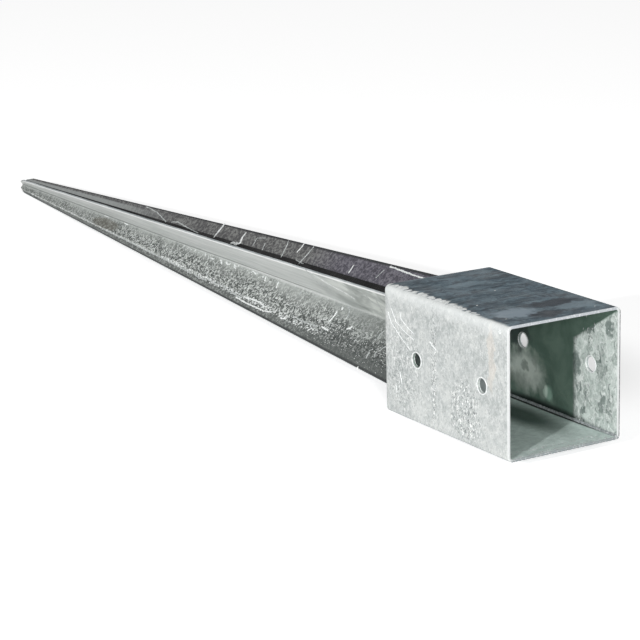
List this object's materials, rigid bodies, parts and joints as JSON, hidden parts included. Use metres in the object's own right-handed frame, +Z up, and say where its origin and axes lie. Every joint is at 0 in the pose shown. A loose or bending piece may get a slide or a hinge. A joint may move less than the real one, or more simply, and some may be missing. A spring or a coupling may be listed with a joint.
{
  "type": "post spike",
  "caption": "Drive-in post spike: an open square socket with cross screw holes on a long tapered spike with an X section, folded and welded from galvanised sheet steel.",
  "frame": {"origin": "on the floor, at the middle of the footprint of the spike as it lies on its side", "axes": "+Z up, +Y from the socket's mouth towards the spike's tip, +X along the screw holes"},
  "size_m": [0.095, 0.9014, 0.1031],
  "materials": {
    "socket_sheet": "hot-dip galvanised, matt with cloudy spangle",
    "seat_plate": "hot-dip galvanised, matt with cloudy spangle",
    "spike_sheet": "hot-dip galvanised, matt with cloudy spangle",
    "weld": "hot-dip galvanised, matt with cloudy spangle"
  },
  "bodies": {
    "root": {"socket": "socket_sheet", "seam_weld": "weld", "post_seat": "seat_plate", "seat_weld": "weld", "spike_sheet_left": "spike_sheet", "spike_sheet_right": "spike_sheet", "root_weld_left": "weld", "root_weld_right": "weld", "stitch_weld_top_1": "weld", "stitch_weld_bottom_1": "weld", "stitch_weld_top_2": "weld", "stitch_weld_bottom_2": "weld", "stitch_weld_top_3": "weld", "stitch_weld_bottom_3": "weld", "stitch_weld_top_4": "weld", "stitch_weld_bottom_4": "weld", "stitch_weld_top_5": "weld", "stitch_weld_bottom_5": "weld"}
  },
  "joints": []
}
